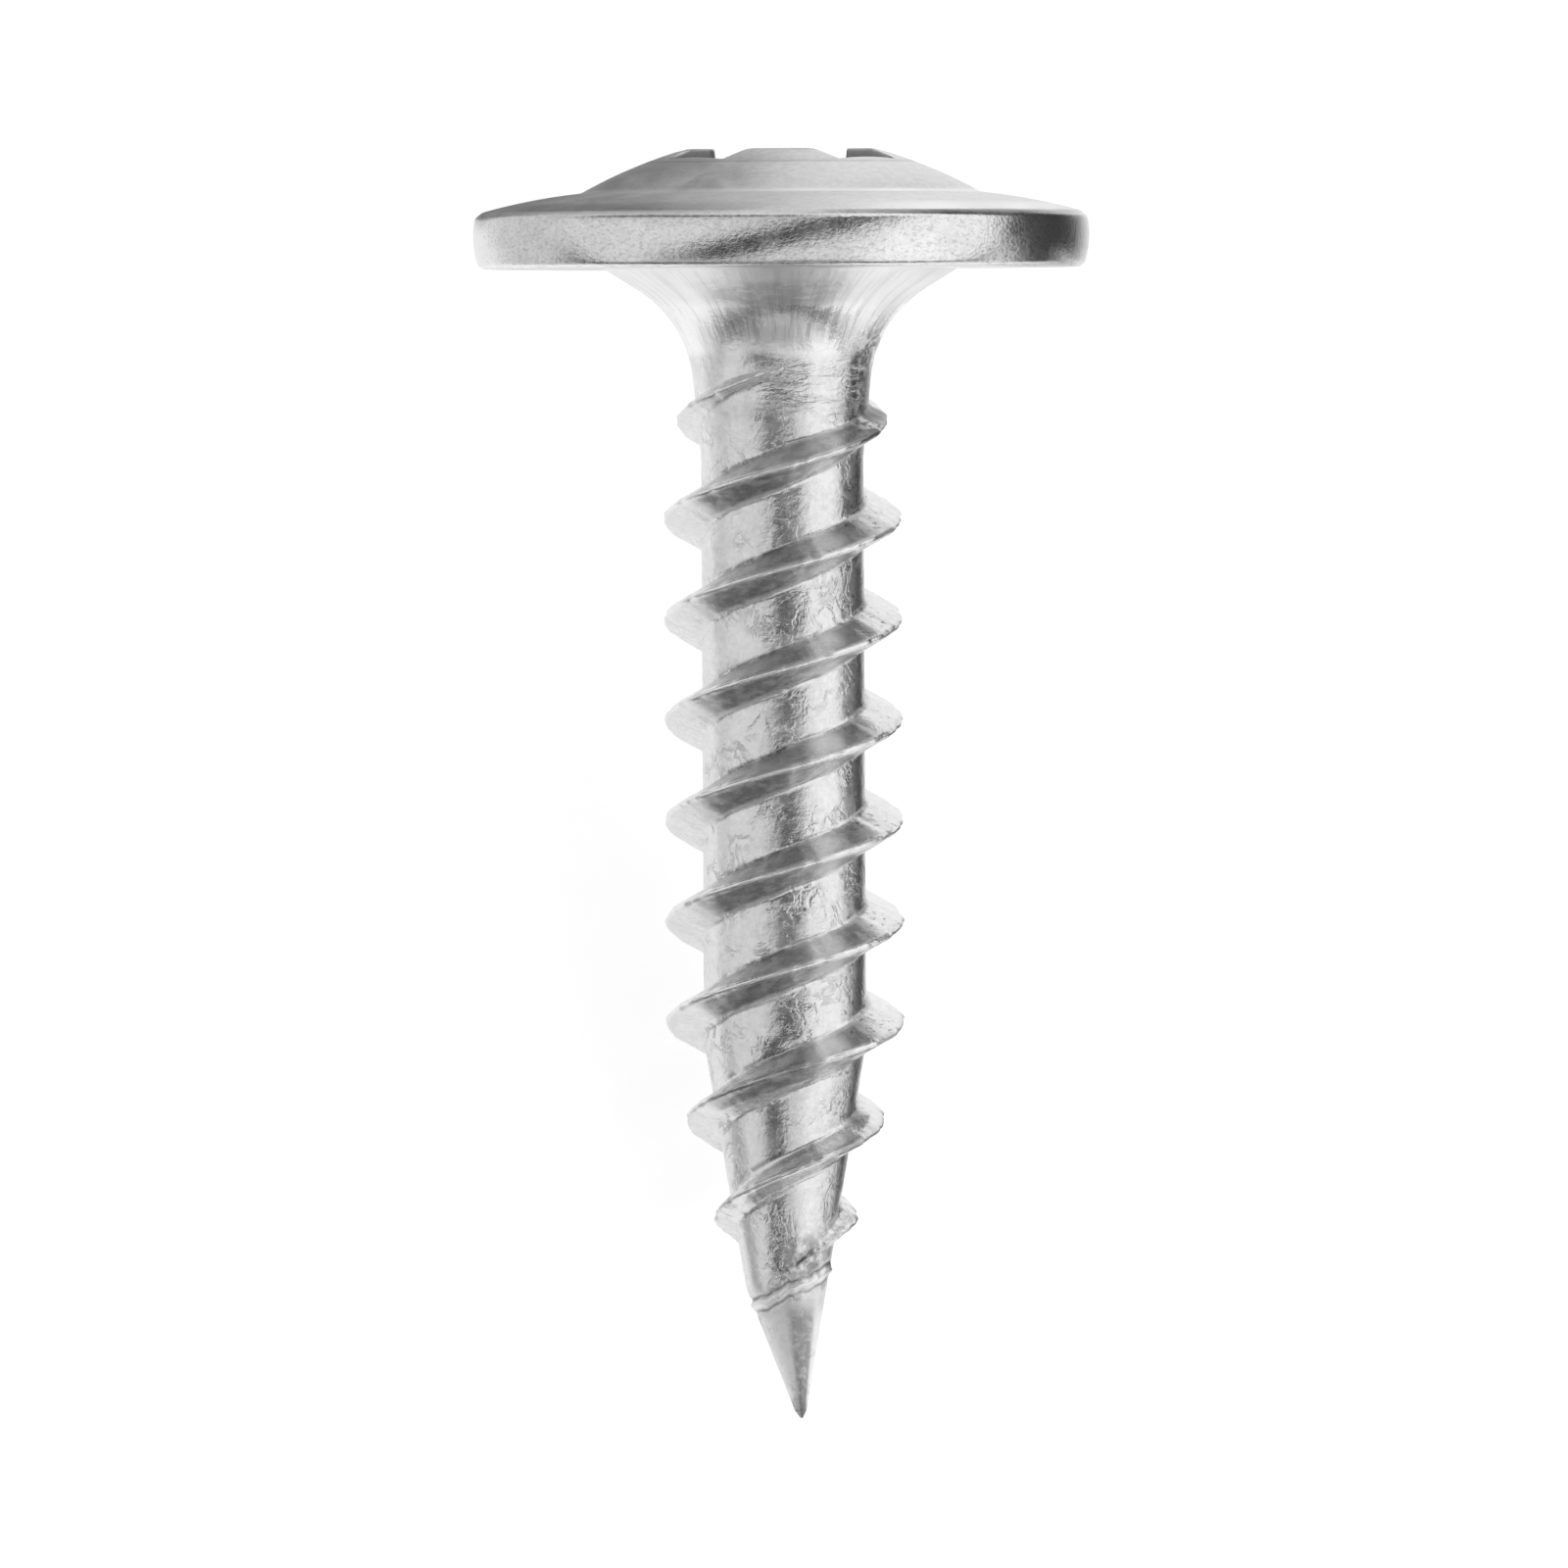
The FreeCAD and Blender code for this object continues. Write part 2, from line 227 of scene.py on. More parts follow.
def flare_points():
    """The flare's outline from the flange's underside to the neck: a straight run, then an arc."""
    blend_radius = NECK_RADIUS + FLARE_BLEND * (FLARE_RADIUS - NECK_RADIUS)
    run_end = np.array((blend_radius, -(1 - FLARE_BLEND) * NECK_DEPTH))
    run = run_end - np.array((FLARE_RADIUS, 0.0))
    run = run / np.linalg.norm(run)
    narrowing = neck_radius(NECK_END_DEPTH) - neck_radius(NECK_DEPTH)
    neck = np.array((narrowing, -(NECK_END_DEPTH - NECK_DEPTH)))
    neck = neck / np.linalg.norm(neck)
    neck_top = np.array((NECK_RADIUS, -NECK_DEPTH))
    reach = np.linalg.solve(np.column_stack((run, -neck)), neck_top - run_end)[0]
    corner = run_end + run * reach
    turn = math.acos(float(np.dot(run, neck)))
    arc_radius = reach / math.tan(turn / 2.0)
    blend_end = corner + neck * reach
    arc = arc_between(tuple(blend_end), tuple(run_end), arc_radius, 24)[::-1]
    return [(FLARE_RADIUS, 0.0)] + arc


def outer_outline():
    """Radius and height along the outside of the head, from the crown to the threaded part."""
    belly = [(rim_radius(h), h) for h in np.linspace(RIM_HEIGHT, 0.0, 16)[:-1]]
    foot = [(rim_radius(FOOT_CHAMFER), FOOT_CHAMFER), (rim_radius(0.0) - FOOT_CHAMFER, 0.0)]
    belly = [point for point in belly if point[1] > FOOT_CHAMFER]
    points = [(1.0, CROWN[1])]
    points += arc_between(CROWN, DOME_FOOT, DOME_RADIUS, 24)
    points += arc_between(DOME_FOOT, SHOULDER, FLANGE_TOP_RADIUS, 16)[1:]
    points += belly + foot + flare_points()
    points.append((neck_radius(NECK_JOIN_DEPTH), -NECK_JOIN_DEPTH))
    return np.array(points)


def walk(points, step):
    """The same line with a point every step."""
    lengths = np.concatenate(([0.0], np.cumsum(np.linalg.norm(np.diff(points, axis=0), axis=1))))
    places = np.arange(0.0, lengths[-1], step)
    places = np.append(places, lengths[-1])
    return np.column_stack([np.interp(places, lengths, points[:, axis]) for axis in range(2)])


def soften(points, step, softness):
    """The line with its corners rounded, its ends left where they are."""
    reach = int(3 * softness / step)
    weights = np.exp(-0.5 * (np.arange(-reach, reach + 1) * step / softness) ** 2)
    weights = weights / weights.sum()
    before = 2 * points[0] - points[reach:0:-1]
    after = 2 * points[-1] - points[-2:-reach - 2:-1]
    padded = np.vstack((before, points, after))
    return np.column_stack([np.convolve(padded[:, axis], weights, "valid") for axis in range(2)])


def rings_of(points, turn_step, longest):
    """Few points of a dense line, closest together where it bends."""
    ways = np.diff(points, axis=0)
    angles = np.unwrap(np.arctan2(ways[:, 1], ways[:, 0]))
    cost = np.abs(np.diff(angles)) / turn_step + np.linalg.norm(ways[1:], axis=1) / longest
    total = np.concatenate(([0.0], np.cumsum(cost)))
    wanted = np.linspace(0.0, total[-1], int(math.ceil(total[-1])) + 1)
    inner = points[1:]
    rings = np.column_stack([np.interp(wanted, total, inner[:, axis]) for axis in range(2)])
    return np.vstack((points[:1], rings))


def head_rings():
    """Radius and height of the head's rings, as if it had no recess."""
    dense = soften(walk(outer_outline(), LINE_STEP), LINE_STEP, EDGE_SOFTNESS)
    return rings_of(dense, RING_TURN, RING_SPACING)


def turn_angles():
    """The angle of each column round the axis."""
    return np.arange(COLUMNS) * 2.0 * math.pi / COLUMNS


def recess_outline(angles, share):
    """The cross's reach at a share of the recess's depth, for each angle."""
    aside = (angles - WING_TURN + math.pi / 4) % (math.pi / 2) - math.pi / 4
    spans = (WING_REACH, WING_HALF_WIDTH, RECESS_CORE)
    reach, half_width, core = (top + (floor - top) * share for top, floor in spans)
    side = half_width / np.maximum(np.abs(np.sin(aside)), 0.01)
    wing = smooth_min(reach / np.cos(aside), side, RECESS_SOFTNESS)
    return smooth_max(core, wing, RECESS_SOFTNESS)


def dome_height(radius, outline):
    """Height of the head's top at a radius."""
    top = outline[: int(np.argmax(outline[:, 0] > DOME_FOOT[0]))]
    return np.interp(radius, top[:, 0], top[:, 1])


def recess_mouth(angles, outline):
    """The cross's reach where it comes out of the dome, and its share of the recess's depth there."""
    share = np.zeros(COLUMNS)
    for _ in range(8):
        mouth = recess_outline(angles, share)
        share = (CROWN[1] - dome_height(mouth, outline)) / RECESS_DEPTH
    return mouth, share


def recess_rings(outline):
    """Points of the recess from its cone's tip up its walls to the mouth and out over the crown."""
    angles = turn_angles()
    mouth, mouth_share = recess_mouth(angles, outline)
    floor_height = CROWN[1] - RECESS_DEPTH
    core = np.full(COLUMNS, RECESS_CORE[1])
    rings = []
    for share in (0.05, 0.3, 0.6, 0.9, 0.98):
        rings.append((core * share, np.full(COLUMNS, floor_height - RECESS_CONE_DEPTH * (1 - share))))
    floor = recess_outline(angles, 1.0)
    for share in (0.05, 0.35, 0.7, 0.95):
        rings.append((core + (floor - core) * share, np.full(COLUMNS, floor_height)))
    for share in (0.01, 0.03, 0.1, 0.25, 0.4, 0.55, 0.7, 0.82, 0.9, 0.95, 0.98):
        level = 1.0 + (mouth_share - 1.0) * share
        rings.append((recess_outline(angles, level), CROWN[1] - RECESS_DEPTH * level))
    edge = 0.035
    edge_drop = 0.004
    drop_fade = 100
    for over in (0.01, edge):
        radius = mouth + over
        rings.append((radius, dome_height(radius, outline) - edge_drop / (1 + drop_fade * over)))
    for share in (0.1, 0.25, 0.4, 0.55, 0.7, 0.85, 1.0):
        radius = mouth + edge + (RECESS_SURROUND_RADIUS - mouth - edge) * share
        rings.append((radius, dome_height(radius, outline)))
    return rings


def core_radius(depth):
    """Radius of the shank between the ridges."""
    straight = np.clip(neck_radius(depth), CORE_RADIUS, None)
    share = np.clip((depth - TAPER_DEPTH) / (LENGTH - TAPER_DEPTH), 0.0, 1.0)
    return straight + (TAPER_END_RADIUS - CORE_RADIUS) * share


def thread_phase(angle, depth):
    """Distance along the axis from the nearest crest."""
    climb = STARTS * CREST_SPACING * angle / (2.0 * math.pi)
    place = depth - FIRST_CREST_DEPTH + climb
    return place - CREST_SPACING * np.round(place / CREST_SPACING)


def crest_wear(crest_depth):
    """How far a crest stands above or below its even line, along the thread."""
    return sum(height * np.sin(pace * crest_depth + pace) for pace, height in WEAR_WAVES)


def pinch_fold(across, depth):
    """The low lip between two creases that runs across the screw where the point was pinched."""
    aside = depth - (PINCH_FOLD_DEPTH - PINCH_FOLD_SLOPE * across)
    for pace, height in PINCH_FOLD_WAVES:
        aside = aside + height * np.sin(pace * across + PINCH_FOLD_WAVE_START)
    lip = np.exp(-(aside / LIP_WIDTH) ** 2)
    above = np.exp(-((aside + CREASE_ASIDE) / CREASE_WIDTH) ** 2)
    below = np.exp(-((aside - CREASE_ASIDE) / CREASE_WIDTH) ** 2)
    return LIP_HEIGHT * lip - CREASE_DEPTH * (above + below)


def thread_radius(angle, depth):
    """Radius of the threaded shank at an angle round the axis and a depth."""
    aside = thread_phase(angle, depth)
    crest = np.interp(depth - aside, CREST_DEPTHS, CREST_RADII, left=0.0, right=0.0)
    crest = crest + crest_wear(depth - aside)
    down = smooth_max(0.0, np.abs(aside) - CREST_HALF_WIDTH, CREST_ROUNDING)
    return smooth_max(core_radius(depth), crest - FLANK_SLOPE * down, ROOT_FILLET)


def point_axis(depth):
    """How far the point's leaning axis stands from the screw's axis."""
    return POINT_OFFSET - (LENGTH - depth) * math.tan(POINT_LEAN)


def centre_shift(depth):
    """The middle of the rings, which moves over to the middle of the leaning point."""
    cone = TIP_RADIUS + (LENGTH - depth) * math.tan(POINT_HALF_ANGLE)
    left = np.maximum(point_axis(depth) - cone, -core_radius(depth))
    right = np.minimum(point_axis(depth) + cone, core_radius(depth))
    shift_length = 1.0
    return (left + right) / 2.0 * smooth_step(depth, PINCH_DEPTH, PINCH_DEPTH + shift_length)


def reach_to_thread(angle, depth):
    """Distance from the rings' middle to the threaded shank."""
    shift = centre_shift(depth)
    reach = thread_radius(angle, depth)
    for _ in range(5):
        across = shift + reach * np.cos(angle)
        away = reach * np.sin(angle)
        radius = thread_radius(np.arctan2(away, across) % (2 * math.pi), depth)
        along = shift * np.cos(angle)
        reach = np.sqrt(np.maximum(radius ** 2 - shift ** 2 + along ** 2, 1e-6)) - along
    return reach


def reach_to_point(angle, depth):
    """Distance from the rings' middle to the leaning cone."""
    slope = math.tan(POINT_HALF_ANGLE)
    across = centre_shift(depth) - POINT_OFFSET
    above = LENGTH - depth
    along = -across * math.sin(POINT_LEAN) + above * math.cos(POINT_LEAN)
    along_step = -np.cos(angle) * math.sin(POINT_LEAN)
    widest = TIP_RADIUS + slope * along
    square = 1.0 - along_step ** 2 * (1.0 + slope ** 2)
    single = 2.0 * (across * np.cos(angle) - along * along_step - slope * along_step * widest)
    plain = across ** 2 + above ** 2 - along ** 2 - widest ** 2
    return (-single + np.sqrt(np.maximum(single ** 2 - 4.0 * square * plain, 0.0))) / (2.0 * square)


def tip_share(depth):
    """How much of the point's width is left in its rounded end."""
    above_end = TIP_DEPTH + 0.01 - depth
    return np.sqrt(np.clip(above_end / TIP_ROUNDING, 0.0, 1.0))


def shank_points(angle, depth):
    """Points of the threaded shank and the pinched point."""
    reach = reach_to_thread(angle, depth)
    out_of_reach = 2.0
    clear = out_of_reach * (1.0 - smooth_step(depth, PINCH_DEPTH - 0.2, PINCH_DEPTH))
    reach = smooth_min(reach, reach_to_point(angle, depth) + clear, PINCH_SOFTNESS)
    reach = np.maximum(reach + pinch_fold(centre_shift(depth) + reach * np.cos(angle), depth), 0.01)
    reach = reach * tip_share(depth)
    across = centre_shift(depth) + reach * np.cos(angle)
    return np.column_stack((across, reach * np.sin(angle), -depth))


def phase_steps():
    """Distances from a crest at which the net has a line, over one crest spacing."""
    half = CREST_SPACING / 2.0
    near = np.concatenate((
        np.linspace(0.0, 0.1, 6)[:-1],
        np.linspace(0.1, 0.34, 5)[:-1],
        np.linspace(0.34, 0.5, 5)[:-1],
        np.linspace(0.5, half, 5),
    ))
    return np.concatenate((-near[::-1][:-1], near[:-1]))


def shank_net():
    """Angles and depths of the shank's net, whose lines follow the crests, and its rows to a spacing."""
    steps = phase_steps()
    climb = STARTS * CREST_SPACING
    first = math.floor((NECK_JOIN_DEPTH - FIRST_CREST_DEPTH) / CREST_SPACING) - 1
    last = math.ceil((LENGTH - FIRST_CREST_DEPTH + climb) / CREST_SPACING) + 1
    lines = np.concatenate([steps + CREST_SPACING * turn for turn in range(first, last + 1)])
    angles = turn_angles()
    depths = FIRST_CREST_DEPTH + lines[:, None] - climb * angles[None, :] / (2.0 * math.pi)
    return angles, np.clip(depths, NECK_JOIN_DEPTH, TIP_DEPTH), len(steps)


class Surface:
    """Points and faces of a surface as they are made."""

    def __init__(self):
        self.points = []
        self.faces = []

    def add_ring(self, ring):
        """Adds a closed ring of points and gives their numbers."""
        first = len(self.points)
        self.points.extend(map(tuple, ring))
        return list(range(first, len(self.points)))

    def join(self, upper, lower):
        """Fills the band between two rings."""
        count = len(upper)
        for i in range(count):
            j = (i + 1) % count
            self.add_face((upper[i], lower[i], lower[j], upper[j]))

    def add_face(self, corners):
        """Adds a face, without the corners that fall together."""
        kept = [c for i, c in enumerate(corners) if c != corners[i - 1]]
        if len(set(kept)) >= 3:
            self.faces.append(tuple(kept))

    def fan(self, ring, middle, reverse):
        """Closes a ring with triangles to a middle point."""
        self.points.append(tuple(middle))
        hub = len(self.points) - 1
        for i in range(len(ring)):
            j = (i + 1) % len(ring)
            corners = (ring[i], ring[j], hub)
            self.faces.append(corners[::-1] if reverse else corners)


def ring_points(radius, height):
    """Points of a ring round the axis."""
    angles = turn_angles()
    radius = np.broadcast_to(radius, angles.shape)
    height = np.broadcast_to(height, angles.shape)
    return np.column_stack((radius * np.cos(angles), radius * np.sin(angles), height))


def add_head(surface):
    """Makes the recess, the dome, the flange and the flare, and gives the lowest ring."""
    outline = head_rings()
    inner = recess_rings(outline)
    ring = surface.add_ring(ring_points(*inner[0]))
    floor_tip = (0.0, 0.0, CROWN[1] - RECESS_DEPTH - RECESS_CONE_DEPTH)
    surface.fan(ring, floor_tip, False)
    outer = [point for point in outline if point[0] > RECESS_SURROUND_RADIUS + 0.05 or point[1] < 1.0]
    for radius, height in list(inner[1:]) + list(outer):
        lower = surface.add_ring(ring_points(radius, height))
        surface.join(ring, lower)
        ring = lower
    return ring


def number_net(surface, angles, depths, top_ring, tip_ring):
    """Adds the points of the shank's net, and gives the point's number at each row and column."""
    spread = np.broadcast_to(angles, depths.shape)
    inside = (depths > NECK_JOIN_DEPTH) & (depths < TIP_DEPTH)
    made = shank_points(spread[inside], depths[inside])
    numbers = np.zeros(depths.shape, int)
    numbers[inside] = np.arange(len(made)) + len(surface.points)
    surface.points.extend(map(tuple, made))
    numbers = np.where(depths <= NECK_JOIN_DEPTH, np.array(top_ring)[None, :], numbers)
    return np.where(depths >= TIP_DEPTH, np.array(tip_ring)[None, :], numbers)


def join_net(surface, numbers, turn_back):
    """Fills the net with faces. Its last column meets the first, some rows further back."""
    rows, columns = numbers.shape
    for row in range(rows - 1):
        for column in range(columns):
            is_last = column == columns - 1
            if is_last and row < turn_back:
                continue
            beside = row - turn_back if is_last else row
            next_column = (column + 1) % columns
            corners = (numbers[row, column], numbers[row + 1, column],
                       numbers[beside + 1, next_column], numbers[beside, next_column])
            surface.add_face(tuple(int(corner) for corner in corners))


def add_shank(surface, top_ring):
    """Makes the threaded part below the given ring, down to the tip."""
    angles, depths, rows_to_a_crest = shank_net()
    tip_ring = surface.add_ring(shank_points(angles, np.full(COLUMNS, TIP_DEPTH)))
    numbers = number_net(surface, angles, depths, top_ring, tip_ring)
    join_net(surface, numbers, STARTS * rows_to_a_crest)
    middle = (float(centre_shift(TIP_DEPTH)), 0.0, -TIP_DEPTH - 0.005)
    surface.fan(tip_ring, middle, True)


def make_mesh(name, surface):
    """A smooth mesh object from a surface in the screw's millimetres."""
    to_frame = PLACE @ Matrix.Scale(MM, 4)
    mesh = bpy.data.meshes.new(name)
    mesh.from_pydata([to_frame @ Vector(point) for point in surface.points], [], surface.faces)
    mesh.polygons.foreach_set("use_smooth", [True] * len(mesh.polygons))
    mesh.update()
    piece = bpy.data.objects.new(name, mesh)
    bpy.context.scene.collection.objects.link(piece)
    return piece


class Nodes:
    """Short calls to build a node tree."""

    def __init__(self, tree):
        self.tree = tree
        tree.nodes.clear()

    def add(self, kind, **settings):
        """A node with its settings."""
        node = self.tree.nodes.new(kind)
        for key, value in settings.items():
            setattr(node, key, value)
        return node

    def feed(self, socket, value):
        """Links an output to a socket, or sets the socket's own value."""
        if isinstance(value, bpy.types.NodeSocket):
            self.tree.links.new(value, socket)
        else:
            socket.default_value = value

    def math(self, operation, *values):
        """The result of a calculation."""
        node = self.add("ShaderNodeMath", operation=operation)
        for socket, value in zip(node.inputs, values):
            self.feed(socket, value)
        return node.outputs[0]

    def span(self, value, low, high, out_low=0.0, out_high=1.0, smooth=True):
        """A value carried from one span to another, held at its ends."""
        node = self.add("ShaderNodeMapRange", interpolation_type="SMOOTHSTEP" if smooth else "LINEAR")
        for socket, given in zip(node.inputs, (value, low, high, out_low, out_high)):
            self.feed(socket, given)
        return node.outputs[0]

    def band(self, value, low, high, edge):
        """1 between two limits and 0 outside, with soft edges."""
        rise = self.span(value, low - edge, low + edge)
        fall = self.span(value, high - edge, high + edge, 1.0, 0.0)
        return self.math("MULTIPLY", rise, fall)

    def sum_of(self, *values):
        """The sum of several values."""
        total = values[0]
        for value in values[1:]:
            total = self.math("ADD", total, value)
        return total

    def product(self, *values):
        """The product of several values."""
        total = values[0]
        for value in values[1:]:
            total = self.math("MULTIPLY", total, value)
        return total

    def most_of(self, *values):
        """The greatest of several values."""
        total = values[0]
        for value in values[1:]:
            total = self.math("MAXIMUM", total, value)
        return total

    def parts(self, place):
        """The three parts of a place."""
        return self.add_fed("ShaderNodeSeparateXYZ", place).outputs[:3]

    def joined(self, x, y, z):
        """A place from its three parts."""
        return self.add_fed("ShaderNodeCombineXYZ", x, y, z).outputs[0]

    def add_fed(self, kind, *values):
        """A node with its inputs fed in order."""
        node = self.add(kind)
        for socket, value in zip(node.inputs, values):
            self.feed(socket, value)
        return node

    def noise(self, place, scale, detail=3.0, roughness=0.5, distortion=0.0):
        """Noise at a place, with so many lumps to a millimetre."""
        node = self.add("ShaderNodeTexNoise")
        for name, value in (("Vector", place), ("Scale", scale), ("Detail", detail),
                            ("Roughness", roughness), ("Distortion", distortion)):
            self.feed(node.inputs[name], value)
        return node.outputs["Fac"]

    def stretch(self, place, scale):
        """A place with each of its axes scaled."""
        node = self.add("ShaderNodeVectorMath", operation="MULTIPLY")
        self.feed(node.inputs[0], place)
        self.feed(node.inputs[1], scale)
        return node.outputs[0]

    def dot(self, place, axis):
        """How far a place lies along an axis."""
        node = self.add("ShaderNodeVectorMath", operation="DOT_PRODUCT")
        self.feed(node.inputs[0], place)
        self.feed(node.inputs[1], tuple(axis))
        return node.outputs["Value"]


def grey(level):
    """A neutral colour."""
    return (level, level, level, 1.0)


def screw_coordinates(nodes):
    """The screw's own millimetres as a texture place."""
    place = nodes.add("ShaderNodeTexCoord").outputs["Object"]
    back = (PLACE @ Matrix.Scale(MM, 4)).inverted()
    mapping = nodes.add("ShaderNodeMapping", vector_type="POINT")
    nodes.feed(mapping.inputs["Vector"], place)
    mapping.inputs["Location"].default_value = back.translation
    mapping.inputs["Rotation"].default_value = back.to_euler()
    mapping.inputs["Scale"].default_value = back.to_scale()
    return mapping.outputs[0]


def within(nodes, zones, **limits):
    """1 where each named zone is inside its limits: the lowest, the highest and the edge's softness."""
    return nodes.product(*(nodes.band(zones[name], *limit) for name, limit in limits.items()))


def blotches(nodes, place, scale, roughness, low, high, least=0.0):
    """Blotches of noise, from the least value to 1."""
    return nodes.span(nodes.noise(place, scale, 4.0, roughness), low, high, least, 1.0)


def wear_and_highlight_share(nodes, zones):
    """Where the zinc is brighter, partly rubbed wear and partly painted highlight: the flare, the point,
    the pinched lip, edges and crests.
    """
    return nodes.most_of(
        within(nodes, zones, depth=(-0.02, 1.5, 0.1)),
        nodes.product(nodes.span(zones["depth"], 17.9, 18.3), 0.65),
        within(nodes, zones, fold=(-0.07, 0.07, 0.03)),
        # Painted highlight along the dome's foot.
        nodes.product(within(nodes, zones, radius=(3.38, 3.54, 0.04)), zones["dome"]),
        # Painted highlight along the flange's bottom edge.
        nodes.product(
            within(nodes, zones, height=(-0.03, 0.05, 0.03)),
            nodes.span(zones["radius"], 4.6, 5.0),
        ),
        nodes.product(
            nodes.span(zones["radius"], 2.02, 2.05),
            nodes.span(zones["depth"], 2.0, 3.0),
            0.5,
        ),
        # Painted highlight on the right of the flange's top.
        nodes.product(nodes.span(zones["x"], 0.9, 2.8), zones["flange_top"]),
    )


def neck_tints(nodes, place, zones, grains):
    """Painted dark reflection at the neck's right edge, blotchy and in a band, and dark upset lines round
    the neck.
    """
    # Painted dark reflection on the neck's right edge, blotchy and in a band.
    painted_dark_reflection = nodes.most_of(
        nodes.product(
            blotches(nodes, place, 5.0, 0.65, 0.46, 0.56),
            within(nodes, zones, depth=(1.1, 3.1, 0.3), turned=(52.0, 86.0, 8.0)),
        ),
        within(nodes, zones, depth=(1.75, 2.7, 0.15), turned=(66.0, 92.0, 5.0)),
    )
    lines = nodes.product(
        nodes.span(grains["striae"], 0.5, 0.38),
        within(nodes, zones, depth=(0.65, 1.25, 0.15)),
    )
    return (painted_dark_reflection, 0.32), (lines, 0.75)


def head_tints(nodes, place, zones, grains):
    """Lines and painted shade on the flare, grain on the rim, a darker blotchy underside, painted shade on
    the flange top's left and in the recess.
    """
    lines = nodes.product(
        nodes.span(grains["striae"], 0.54, 0.4),
        within(nodes, zones, depth=(0.04, 0.65, 0.08)),
    )
    # Painted shade: a dark blotch on the flare's near middle.
    painted_shade_blotch = nodes.product(
        blotches(nodes, nodes.stretch(place, (2.2, 2.2, 7.0)), 1.0, 0.65, 0.36, 0.56, 0.2),
        within(nodes, zones, depth=(0.26, 0.62, 0.07), turned=(-34.0, 24.0, 9.0)),
    )
    speckle = nodes.product(nodes.span(grains["rim"], 0.5, 0.36), zones["rim"])
    underside = nodes.product(nodes.span(grains["cloud"], 0.3, 0.6, 0.5, 1.0), zones["underside"])
    # Painted shade on the left of the flange's top.
    painted_shade_top_left = nodes.product(nodes.span(zones["x"], 0.8, -2.4), zones["flange_top"])
    # Painted shade in the recess, below the line of the crown.
    crown = nodes.span(zones["radius"], 1.65, 2.3, 2.05, 1.85, False)
    below_crown = nodes.span(nodes.math("SUBTRACT", zones["height"], crown), 0.02, -0.03)
    recess = nodes.product(below_crown, nodes.span(zones["radius"], 2.4, 2.3), zones["head"])
    return (lines, 0.9), (painted_shade_blotch, 0.76), (speckle, 0.8), (underside, 0.8), (painted_shade_top_left, 0.76), (recess, 0.4)


def core_tints(nodes, zones, grains):
    """Painted dark reflection on the core's right edge, speckled beside it, and the rolling folds."""
    # Painted dark reflection along the core's right edge.
    edge = nodes.product(
        nodes.span(grains["cloud"], 0.3, 0.55, 0.5, 1.0),
        within(nodes, zones, turned=(62.0, 84.0, 7.0), depth=(3.0, 16.0, 0.4)),
        nodes.span(zones["radius"], 1.5, 1.44),
    )
    # Painted dark reflection, speckled, on the core's right side.
    speckled_painted_reflection = nodes.product(
        nodes.span(grains["pebble"], 0.4, 0.32),
        within(nodes, zones, depth=(3.0, 15.0, 0.3), turned=(44.0, 80.0, 6.0)),
    )
    return (edge, 0.4), (speckled_painted_reflection, 0.5), (grains["folds"], 0.8)


def flank_tints(nodes, place, zones):
    """Painted dark reflections on the thread's flanks on the near left and at the right, and painted shade
    in patches at the thread's root.
    """
    flank = nodes.product(
        within(nodes, zones, radius=(1.5, 2.0, 0.05)),
        nodes.span(zones["depth"], 2.2, 2.6),
    )
    is_lower = nodes.math("GREATER_THAN", zones["below_crest"], 0.0)
    is_upper = nodes.math("SUBTRACT", 1.0, is_lower)
    mottle = blotches(nodes, place, 4.0, 0.6, 0.36, 0.6, 0.55)
    # Painted dark reflections on the near left flanks, above and below the crest, and on the right flanks.
    painted_reflection_upper_left = nodes.product(flank, is_upper, within(nodes, zones, turned=(-48.0, 14.0, 6.0)), mottle)
    painted_reflection_lower_left = nodes.product(flank, is_lower, within(nodes, zones, turned=(-48.0, 18.0, 6.0)), mottle)
    right = nodes.product(flank, within(nodes, zones, turned=(35.0, 56.0, 5.0)))
    # Painted shade in patches at the thread's root on the near left.
    painted_root_shade = nodes.product(
        blotches(nodes, place, 5.0, 0.6, 0.42, 0.54),
        within(nodes, zones, below_crest=(-0.24, -0.19, 0.025)),
        within(nodes, zones, turned=(-52.0, 6.0, 9.0), depth=(2.8, 16.4, 0.3)),
    )
    return (painted_reflection_upper_left, 0.66), (painted_reflection_lower_left, 0.4), (right, 0.58), (painted_root_shade, 0.5)


def point_tints(nodes, place, zones, grains):
    """Painted shade above the pinched lip and in its creases, a painted dark reflection on the point's near
    right, and its dark tip.
    """
    # Painted shade in blotches above the pinched lip.
    painted_shade_blotch = nodes.product(
        blotches(nodes, place, 6.0, 0.65, 0.34, 0.6, 0.1),
        within(nodes, zones, depth=(16.8, 17.55, 0.25), turned=(-2.0, 54.0, 10.0)),
    )
    # Painted shade in the lip's two creases.
    crease_above = within(nodes, zones, fold=(-0.15, -0.11, 0.03))
    crease_below = within(nodes, zones, fold=(0.11, 0.14, 0.03))
    creases = nodes.product(
        nodes.most_of(crease_above, crease_below),
        within(nodes, zones, turned=(-75.0, 75.0, 8.0)),
        nodes.span(grains["pebble"], 0.35, 0.5, 0.5, 1.0),
    )
    # Painted dark reflection on the near right of the point.
    painted_dark_side = nodes.product(
        nodes.span(zones["depth"], 17.8, 18.3),
        within(nodes, zones, turned_on_point=(-5.0, 46.0, 9.0)),
        nodes.span(grains["pebble"], 0.3, 0.6, 0.55, 1.0),
    )
    tip = nodes.span(zones["depth"], 19.5, 19.85)
    return (painted_shade_blotch, 0.4), (creases, 0.4), (painted_dark_side, 0.47), (tip, 0.6)


